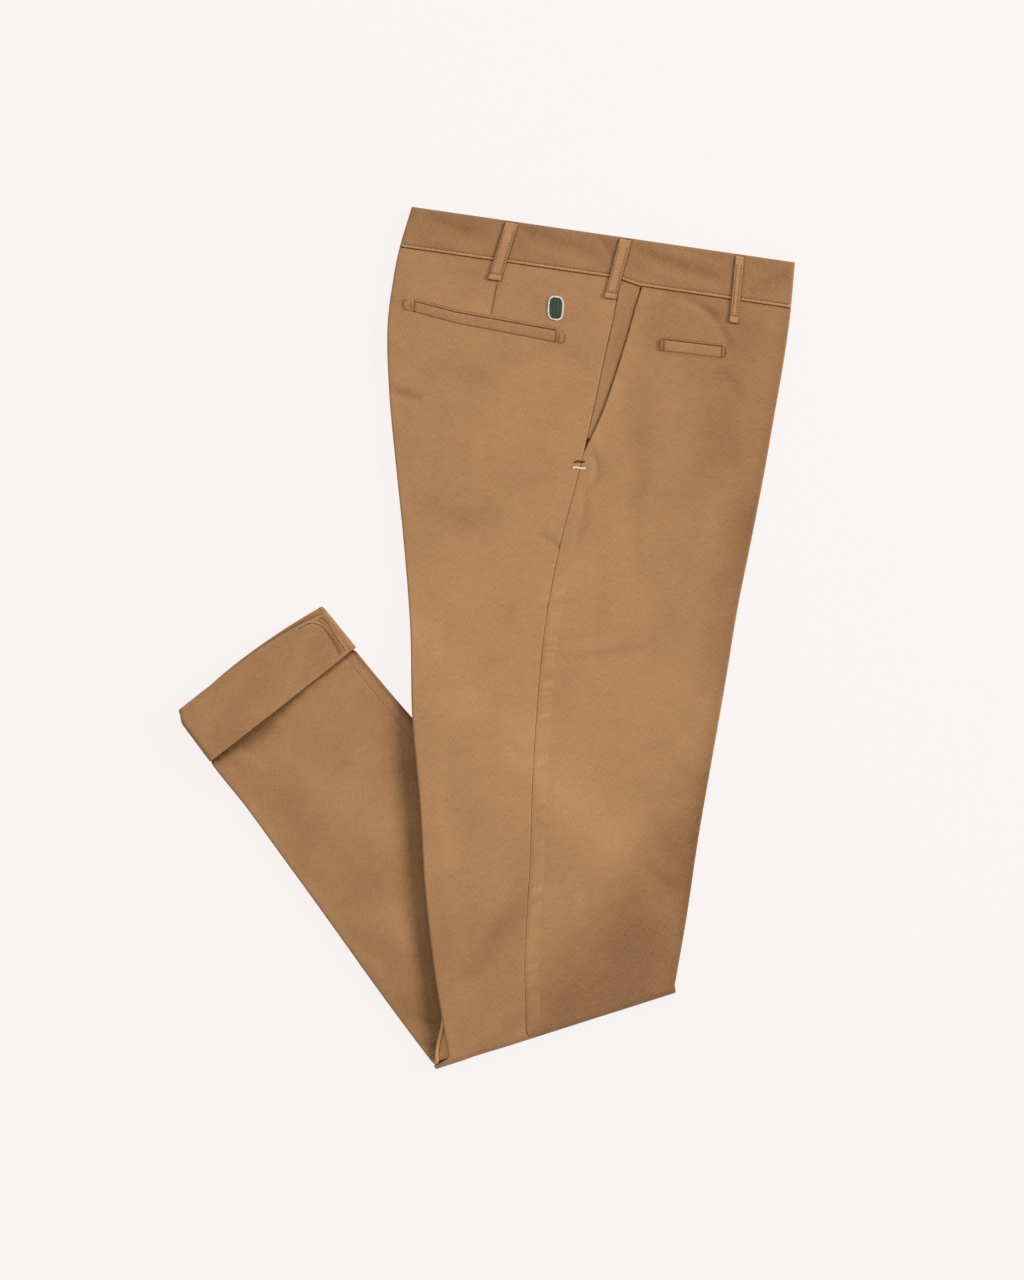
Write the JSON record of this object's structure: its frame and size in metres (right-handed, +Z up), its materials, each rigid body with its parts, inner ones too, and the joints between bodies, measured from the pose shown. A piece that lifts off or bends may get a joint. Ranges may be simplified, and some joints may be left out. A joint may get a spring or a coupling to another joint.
{
  "type": "chino trousers",
  "caption": "Folded pair of long tan twill chino trousers, side seam up, slant, welt and coin pockets, belt loops, lower legs folded under with turned-up hems.",
  "frame": {"origin": "middle of the folded trousers' outline, on the surface they lie on", "axes": "+Y towards the waist, +X towards the front of the trousers, +Z up from the surface"},
  "size_m": [0.5306, 0.7398, 0.0184],
  "materials": {
    "twill": "matt tan cotton twill, right side",
    "twill_trim": "matt tan cotton twill, folded and topstitched",
    "twill_inside": "matt tan cotton twill, wrong side",
    "twill_hidden": "matt tan cotton twill, hidden layers"
  },
  "bodies": {
    "root": {"right_back_panel": "twill", "right_front_panel": "twill", "left_back_panel": "twill", "left_front_panel": "twill", "folded_layers": "twill_hidden", "right_pocket_facing": "twill", "waistband_right": "twill_trim", "waistband_left": "twill_trim", "belt_loop_back": "twill_trim", "belt_loop_side": "twill_trim", "belt_loop_front": "twill_trim", "back_pocket_welt": "twill_trim", "coin_pocket_welt": "twill_trim", "left_cuff": "twill_inside", "right_cuff": "twill_inside"}
  },
  "joints": []
}
